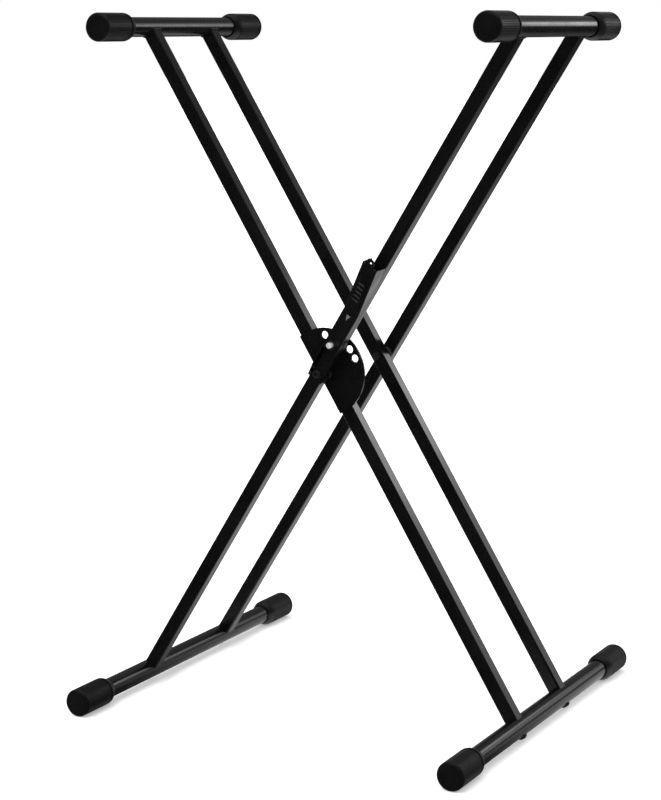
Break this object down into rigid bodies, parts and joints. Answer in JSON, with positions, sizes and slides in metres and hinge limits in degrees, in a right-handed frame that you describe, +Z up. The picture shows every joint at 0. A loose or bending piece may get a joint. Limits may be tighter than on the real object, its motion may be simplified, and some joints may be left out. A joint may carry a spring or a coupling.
{
  "type": "folding keyboard stand",
  "caption": "Folding double-braced X stand for a keyboard: round bars with ribbed rubber caps, square-tube legs, a sector lock plate and a quick-release latch lever.",
  "frame": {"origin": "on the floor, at the centre of the stand's footprint", "axes": "+Z up, X across the X of the legs with the outer frame's top at +X, Y along the round bars, latch at -Y"},
  "size_m": [0.63, 0.58, 0.988],
  "materials": {
    "paint": "semi-gloss black powder coat",
    "cap_rubber": "black moulded rubber, fine lengthwise ribs",
    "zinc": "bright zinc-plated steel",
    "black_steel": "black-oxide steel",
    "nylon": "black nylon"
  },
  "bodies": {
    "inner_frame": {"top_bar_left": "paint", "foot_bar_right": "paint", "inner_leg_front": "paint", "inner_leg_rear": "paint", "lock_plate": "paint", "top_bar_left_cap_front": "cap_rubber", "top_bar_left_cap_rear": "cap_rubber", "foot_bar_right_cap_front": "cap_rubber", "foot_bar_right_cap_rear": "cap_rubber", "pivot_sleeve_front": "zinc", "pivot_sleeve_rear": "zinc", "foot_bolt_right_front": "black_steel", "foot_bolt_right_rear": "black_steel", "foot_saddle_right_front": "black_steel", "foot_saddle_right_rear": "black_steel", "foot_plug_right_front": "zinc", "foot_plug_right_rear": "zinc"},
    "outer_frame": {"top_bar_right": "paint", "foot_bar_left": "paint", "outer_leg_front": "paint", "outer_leg_rear": "paint", "top_bar_right_cap_front": "cap_rubber", "top_bar_right_cap_rear": "cap_rubber", "foot_bar_left_cap_front": "cap_rubber", "foot_bar_left_cap_rear": "cap_rubber", "foot_bolt_left_front": "black_steel", "foot_bolt_left_rear": "black_steel", "foot_saddle_left_front": "black_steel", "foot_saddle_left_rear": "black_steel", "foot_plug_left_front": "zinc", "foot_plug_left_rear": "zinc", "pivot_bolt_front": "black_steel", "pivot_bolt_rear": "black_steel", "pivot_nut_front": "black_steel", "pivot_nut_rear": "black_steel", "pivot_washer_front": "black_steel", "pivot_washer_rear": "black_steel", "pivot_spacer_front": "nylon", "pivot_spacer_rear": "nylon", "lever_rivet_right": "black_steel", "lever_rivet_left": "black_steel", "pin_bush": "black_steel", "lock_spring": "zinc"},
    "lever": {"latch_lever": "paint"},
    "pin": {"lock_pin": "zinc", "pin_washer": "black_steel", "pin_clip": "black_steel"}
  },
  "joints": [
    {"name": "fold", "type": "hinge", "parent": "inner_frame", "child": "outer_frame", "pos_m": [0, 0, 0.494], "axis": [0, 1, 0], "range_deg": [-58.8, 110]},
    {"name": "latch_lever_hinge", "type": "hinge", "parent": "outer_frame", "child": "lever", "pos_m": [-0.00159, -0.1045, 0.49145], "axis": [0.849, 0, -0.5284], "range_deg": [0, 7], "stiffness_Nm_per_rad": 6, "springref_deg": -5.73},
    {"name": "lock_pin_slide", "type": "slide", "parent": "outer_frame", "child": "pin", "axis": [0, -1, 0], "range_m": [0, 0.008], "deforming": ["lock_spring"]}
  ],
  "couplings": [
    {"joint": "lock_pin_slide", "follows": "latch_lever_hinge", "m_per_rad": 0.063}
  ]
}
